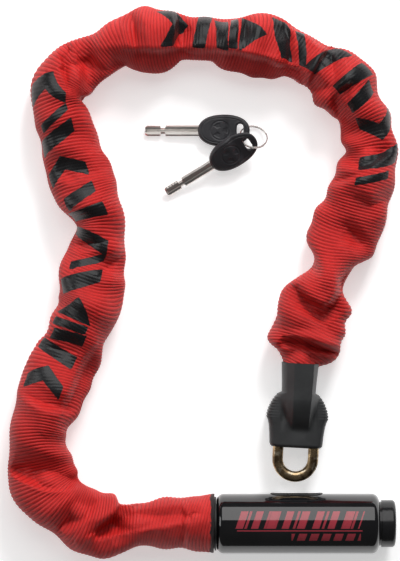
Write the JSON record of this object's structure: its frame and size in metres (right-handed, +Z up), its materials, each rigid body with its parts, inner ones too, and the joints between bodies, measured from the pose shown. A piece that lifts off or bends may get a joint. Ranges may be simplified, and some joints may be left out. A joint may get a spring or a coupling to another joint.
{
  "type": "chain lock",
  "caption": "Bicycle chain lock: a fabric-sleeved steel chain ending in a cylindrical lock barrel, a rubber boot and an end link, with loose keys on a ring.",
  "frame": {"origin": "on the surface the lock lies on, under the middle of the whole lock", "axes": "+X along the barrel from its chain end to its key end, +Y across the lying loop away from the barrel, +Z up"},
  "size_m": [0.2546, 0.355, 0.039],
  "materials": {
    "barrel_black": "glossy black",
    "bezel_brass": "brass plated",
    "housing_steel": "machined",
    "pin_steel": "ground",
    "case_steel": "machined",
    "core_steel": "machined",
    "disc_brass": "stamped brass",
    "rotor_steel": "hardened steel",
    "cap_black": "glossy black",
    "cover_steel": "satin steel",
    "collar_black": "matte black",
    "boot_rubber": "matte black rubber",
    "end_link_zinc": "yellow zinc plate",
    "key_1_plastic": "moulded black plastic",
    "key_1_metal": "nickel plate",
    "key_2_plastic": "moulded black plastic",
    "key_2_metal": "nickel plate",
    "ring_steel": "nickel plate",
    "chain_steel": "case-hardened steel",
    "sleeve_fabric": "red woven webbing"
  },
  "bodies": {
    "barrel": {"barrel_shell": "barrel_black", "throat_bezel": "bezel_brass", "lock_housing": "housing_steel", "anchor_pin": "pin_steel", "case_pins": "pin_steel", "cylinder_case": "case_steel", "key_cap": "cap_black", "cover_ring": "cover_steel", "sleeve_collar": "collar_black", "link_01": "chain_steel"},
    "plug": {"cylinder_core": "core_steel", "core_clip": "pin_steel", "detainer_discs": "disc_brass", "disc_spacers": "pin_steel", "drive_tail": "core_steel"},
    "rotor": {"locking_rotor": "rotor_steel"},
    "sidebar": {"sidebar": "core_steel"},
    "dust_cover": {"dust_cover": "cover_steel"},
    "chain_02": {"link_02": "chain_steel", "sleeve_01": "sleeve_fabric"},
    "chain_03": {"link_03": "chain_steel"},
    "chain_04": {"link_04": "chain_steel", "sleeve_02": "sleeve_fabric"},
    "chain_05": {"link_05": "chain_steel"},
    "chain_06": {"link_06": "chain_steel", "sleeve_03": "sleeve_fabric"},
    "chain_07": {"link_07": "chain_steel"},
    "chain_08": {"link_08": "chain_steel", "sleeve_04": "sleeve_fabric"},
    "chain_09": {"link_09": "chain_steel"},
    "chain_10": {"link_10": "chain_steel", "sleeve_05": "sleeve_fabric"},
    "chain_11": {"link_11": "chain_steel"},
    "chain_12": {"link_12": "chain_steel", "sleeve_06": "sleeve_fabric"},
    "chain_13": {"link_13": "chain_steel"},
    "chain_14": {"link_14": "chain_steel", "sleeve_07": "sleeve_fabric"},
    "chain_15": {"link_15": "chain_steel"},
    "chain_16": {"link_16": "chain_steel", "sleeve_08": "sleeve_fabric"},
    "chain_17": {"link_17": "chain_steel"},
    "chain_18": {"link_18": "chain_steel", "sleeve_09": "sleeve_fabric"},
    "chain_19": {"link_19": "chain_steel"},
    "chain_20": {"link_20": "chain_steel", "sleeve_10": "sleeve_fabric"},
    "chain_21": {"link_21": "chain_steel"},
    "chain_22": {"link_22": "chain_steel", "sleeve_11": "sleeve_fabric"},
    "chain_23": {"link_23": "chain_steel"},
    "chain_end": {"link_24": "chain_steel", "end_boot": "boot_rubber", "end_link": "end_link_zinc"},
    "key_ring": {"split_ring": "ring_steel"},
    "key_1": {"key_1_bow": "key_1_plastic", "key_1_blade": "key_1_metal"},
    "key_2": {"key_2_bow": "key_2_plastic", "key_2_blade": "key_2_metal"}
  },
  "joints": [
    {"name": "core_turn", "type": "hinge", "parent": "barrel", "child": "plug", "pos_m": [0.08333, -0.15642, 0.0195], "axis": [1, 0, 0], "range_deg": [0, 90]},
    {"name": "rotor_turn", "type": "hinge", "parent": "barrel", "child": "rotor", "pos_m": [0.06023, -0.15642, 0.0195], "axis": [1, 0, 0], "range_deg": [0, 90]},
    {"name": "sidebar_lift", "type": "slide", "parent": "plug", "child": "sidebar", "axis": [0, 0, -1], "range_m": [-0.0008, 0]},
    {"name": "cover_turn", "type": "hinge", "parent": "barrel", "child": "dust_cover", "pos_m": [0.12133, -0.15642, 0.0195], "axis": [1, 0, 0], "range_deg": [0, 90]},
    {"name": "link_hinge_01", "type": "hinge", "parent": "barrel", "child": "chain_02", "pos_m": [-0.00522, -0.15605, 0.0195], "axis": [0, 0, 1], "range_deg": [-1.5, 8], "deforming": ["sleeve_01"]},
    {"name": "link_hinge_02", "type": "hinge", "parent": "chain_02", "child": "chain_03", "pos_m": [-0.04775, -0.15844, 0.01824], "axis": [0, 0, -1], "range_deg": [-7, 1.5]},
    {"name": "link_hinge_03", "type": "hinge", "parent": "chain_03", "child": "chain_04", "pos_m": [-0.07318, -0.15552, 0.01682], "axis": [0, 0, 1], "range_deg": [-1.5, 7], "deforming": ["sleeve_02"]},
    {"name": "link_hinge_04", "type": "hinge", "parent": "chain_04", "child": "chain_05", "pos_m": [-0.1042, -0.12632, 0.0148], "axis": [0, 0, -1], "range_deg": [-8, 1.5]},
    {"name": "link_hinge_05", "type": "hinge", "parent": "chain_05", "child": "chain_06", "pos_m": [-0.10694, -0.10086, 0.0145], "axis": [0, 0, 1], "range_deg": [-1, 10], "deforming": ["sleeve_03"]},
    {"name": "link_hinge_06", "type": "hinge", "parent": "chain_06", "child": "chain_07", "pos_m": [-0.09468, -0.06007, 0.0145], "axis": [0, 0, -1], "range_deg": [-12, 1.5]},
    {"name": "link_hinge_07", "type": "hinge", "parent": "chain_07", "child": "chain_08", "pos_m": [-0.085, -0.03637, 0.0145], "axis": [0, 0, 1], "range_deg": [-1.5, 15], "deforming": ["sleeve_04"]},
    {"name": "link_hinge_08", "type": "hinge", "parent": "chain_08", "child": "chain_09", "pos_m": [-0.0714, 0.004, 0.0145], "axis": [0, 0, -1], "range_deg": [-20, 1.5]},
    {"name": "link_hinge_09", "type": "hinge", "parent": "chain_09", "child": "chain_10", "pos_m": [-0.06859, 0.02945, 0.0145], "axis": [0, 0, 1], "range_deg": [-1.5, 25], "deforming": ["sleeve_05"]},
    {"name": "link_hinge_10", "type": "hinge", "parent": "chain_10", "child": "chain_11", "pos_m": [-0.07923, 0.0707, 0.0145], "axis": [0, 0, -1], "range_deg": [-25, 1.5]},
    {"name": "link_hinge_11", "type": "hinge", "parent": "chain_11", "child": "chain_12", "pos_m": [-0.08872, 0.09448, 0.0145], "axis": [0, 0, 1], "range_deg": [-1.5, 25], "deforming": ["sleeve_06"]},
    {"name": "link_hinge_12", "type": "hinge", "parent": "chain_12", "child": "chain_13", "pos_m": [-0.08264, 0.13664, 0.0145], "axis": [0, 0, -1], "range_deg": [-25, 1.5]},
    {"name": "link_hinge_13", "type": "hinge", "parent": "chain_13", "child": "chain_14", "pos_m": [-0.06114, 0.15052, 0.0145], "axis": [0, 0, 1], "range_deg": [-1.5, 25], "deforming": ["sleeve_07"]},
    {"name": "link_hinge_14", "type": "hinge", "parent": "chain_14", "child": "chain_15", "pos_m": [-0.01929, 0.15849, 0.0145], "axis": [0, 0, -1], "range_deg": [-25, 1.5]},
    {"name": "link_hinge_15", "type": "hinge", "parent": "chain_15", "child": "chain_16", "pos_m": [0.0063, 0.15777, 0.0145], "axis": [0, 0, 1], "range_deg": [-12, 25], "deforming": ["sleeve_08"]},
    {"name": "link_hinge_16", "type": "hinge", "parent": "chain_16", "child": "chain_17", "pos_m": [0.0484, 0.15125, 0.0145], "axis": [0, 0, -1], "range_deg": [-25, 20]},
    {"name": "link_hinge_17", "type": "hinge", "parent": "chain_17", "child": "chain_18", "pos_m": [0.07208, 0.14153, 0.0145], "axis": [0, 0, 1], "range_deg": [-20, 25], "deforming": ["sleeve_09"]},
    {"name": "link_hinge_18", "type": "hinge", "parent": "chain_18", "child": "chain_19", "pos_m": [0.10083, 0.11009, 0.0145], "axis": [0, 0, -1], "range_deg": [-25, 20]},
    {"name": "link_hinge_19", "type": "hinge", "parent": "chain_19", "child": "chain_20", "pos_m": [0.10721, 0.0853, 0.0145], "axis": [0, 0, 1], "range_deg": [-20, 25], "deforming": ["sleeve_10"]},
    {"name": "link_hinge_20", "type": "hinge", "parent": "chain_20", "child": "chain_21", "pos_m": [0.09785, 0.04374, 0.0145], "axis": [0, 0, -1], "range_deg": [-25, 20]},
    {"name": "link_hinge_21", "type": "hinge", "parent": "chain_21", "child": "chain_22", "pos_m": [0.08752, 0.02031, 0.0145], "axis": [0, 0, 1], "range_deg": [-20, 25], "deforming": ["sleeve_11"]},
    {"name": "link_hinge_22", "type": "hinge", "parent": "chain_22", "child": "chain_23", "pos_m": [0.07311, -0.01977, 0.0145], "axis": [0, 0, -1], "range_deg": [-25, 20]},
    {"name": "link_hinge_23", "type": "hinge", "parent": "chain_23", "child": "chain_end", "pos_m": [0.06339, -0.04346, 0.0145], "axis": [0, 0, 1], "range_deg": [-20, 25]},
    {"name": "ring_lift", "type": "slide", "parent": "barrel", "child": "key_ring", "axis": [0, 0, 1], "range_m": [0, 0.06]},
    {"name": "key_1_swing", "type": "hinge", "parent": "key_ring", "child": "key_1", "pos_m": [0.02423, 0.09918, 0.00512], "axis": [0, 0, 1], "range_deg": [-12, 9]},
    {"name": "key_2_swing", "type": "hinge", "parent": "key_ring", "child": "key_2", "pos_m": [0.02879, 0.09073, 0.01117], "axis": [0, 0, 1], "range_deg": [-3, 3]}
  ],
  "couplings": [
    {"joint": "rotor_turn", "follows": "core_turn", "ratio": 1}
  ]
}
